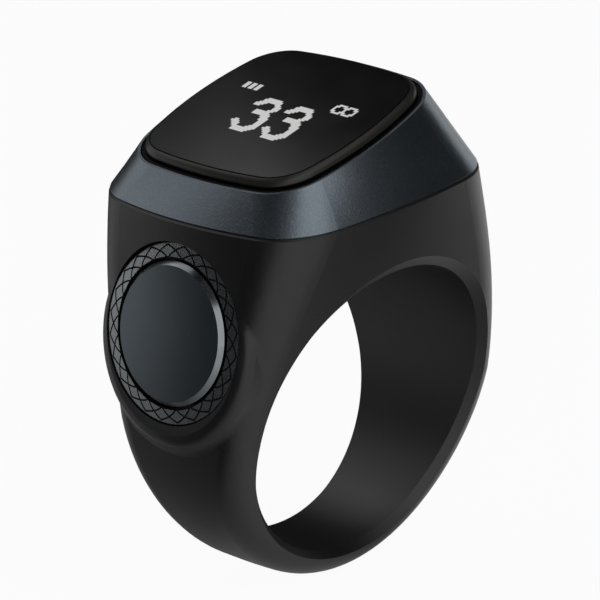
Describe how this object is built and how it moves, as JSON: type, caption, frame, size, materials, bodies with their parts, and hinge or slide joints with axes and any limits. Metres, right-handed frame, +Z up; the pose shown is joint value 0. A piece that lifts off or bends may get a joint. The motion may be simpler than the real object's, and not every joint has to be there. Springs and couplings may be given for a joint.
{
  "type": "digital tasbih counter",
  "caption": "Finger-ring digital tally counter with a flared black band, slanted display lens in a metallic bezel and a sprung push button on its flank.",
  "frame": {"origin": "centre of the finger bore", "axes": "+Z up through the display head, +Y along the finger bore, push button on -X"},
  "size_m": [0.0257, 0.02, 0.0331],
  "materials": {
    "body_plastic": "soft-touch black moulded plastic",
    "bezel_metal": "satin slate metallic finish",
    "seal_rubber": "black silicone",
    "lens_black": "glossy black smoked acrylic",
    "holder_plastic": "black moulded plastic",
    "panel_glass": "dark display glass laminate",
    "ribbon_film": "amber polyimide film",
    "connector_plastic": "cream moulded plastic",
    "board_laminate": "green solder mask laminate",
    "chip_resin": "moulded chip resin",
    "tin_plate": "tin plated steel",
    "antenna_ceramic": "pale blue ceramic",
    "passive_ceramic": "tan ceramic",
    "screw_steel": "zinc plated steel",
    "cell_foil": "aluminium laminate pouch",
    "lead_jacket": "insulated wire",
    "motor_steel": "stamped steel",
    "rotor_weight": "sintered dense metal",
    "contact_gold": "gold plated brass",
    "trim_metal": "slate metallic ring with dark lattice",
    "cap_metal": "satin slate anodised cap"
  },
  "bodies": {
    "ring": {"ring_body": "body_plastic", "bezel_frame": "bezel_metal", "seam_seal": "seal_rubber", "cover_lens": "lens_black", "lens_gasket": "seal_rubber", "display_holder": "holder_plastic", "display_panel": "panel_glass", "panel_foam": "seal_rubber", "display_ribbon": "ribbon_film", "ribbon_connector": "connector_plastic", "main_board": "board_laminate", "controller_chip": "chip_resin", "charger_chip": "chip_resin", "crystal": "tin_plate", "antenna": "antenna_ceramic", "board_passives": "passive_ceramic", "board_screws": "screw_steel", "battery_cell": "cell_foil", "battery_leads": "lead_jacket", "motor_base": "motor_steel", "motor_shaft": "screw_steel", "motor_cup": "motor_steel", "charging_contacts": "contact_gold", "button_trim": "trim_metal", "stem_seal": "seal_rubber", "switch_housing": "holder_plastic", "switch_dome": "motor_steel", "switch_board": "board_laminate", "switch_ribbon": "ribbon_film"},
    "button": {"button_cap": "cap_metal", "stem_clip": "screw_steel"},
    "plunger": {"switch_plunger": "connector_plastic"},
    "rotor": {"motor_rotor": "rotor_weight"}
  },
  "joints": [
    {"name": "button_press", "type": "slide", "parent": "ring", "child": "button", "axis": [0.9877, 0, -0.1564], "range_m": [0, 0.00025], "stiffness_N_per_m": 2000, "deforming": ["switch_dome"]},
    {"name": "plunger_press", "type": "slide", "parent": "ring", "child": "plunger", "axis": [0.9877, 0, -0.1564], "range_m": [0, 0.00025], "deforming": ["switch_dome"]},
    {"name": "rotor_spin", "type": "hinge", "parent": "ring", "child": "rotor", "pos_m": [0.0044, 0, 0.0122], "axis": [0, 0, 1], "continuous": true}
  ],
  "couplings": [
    {"joint": "plunger_press", "follows": "button_press", "ratio": 1}
  ]
}
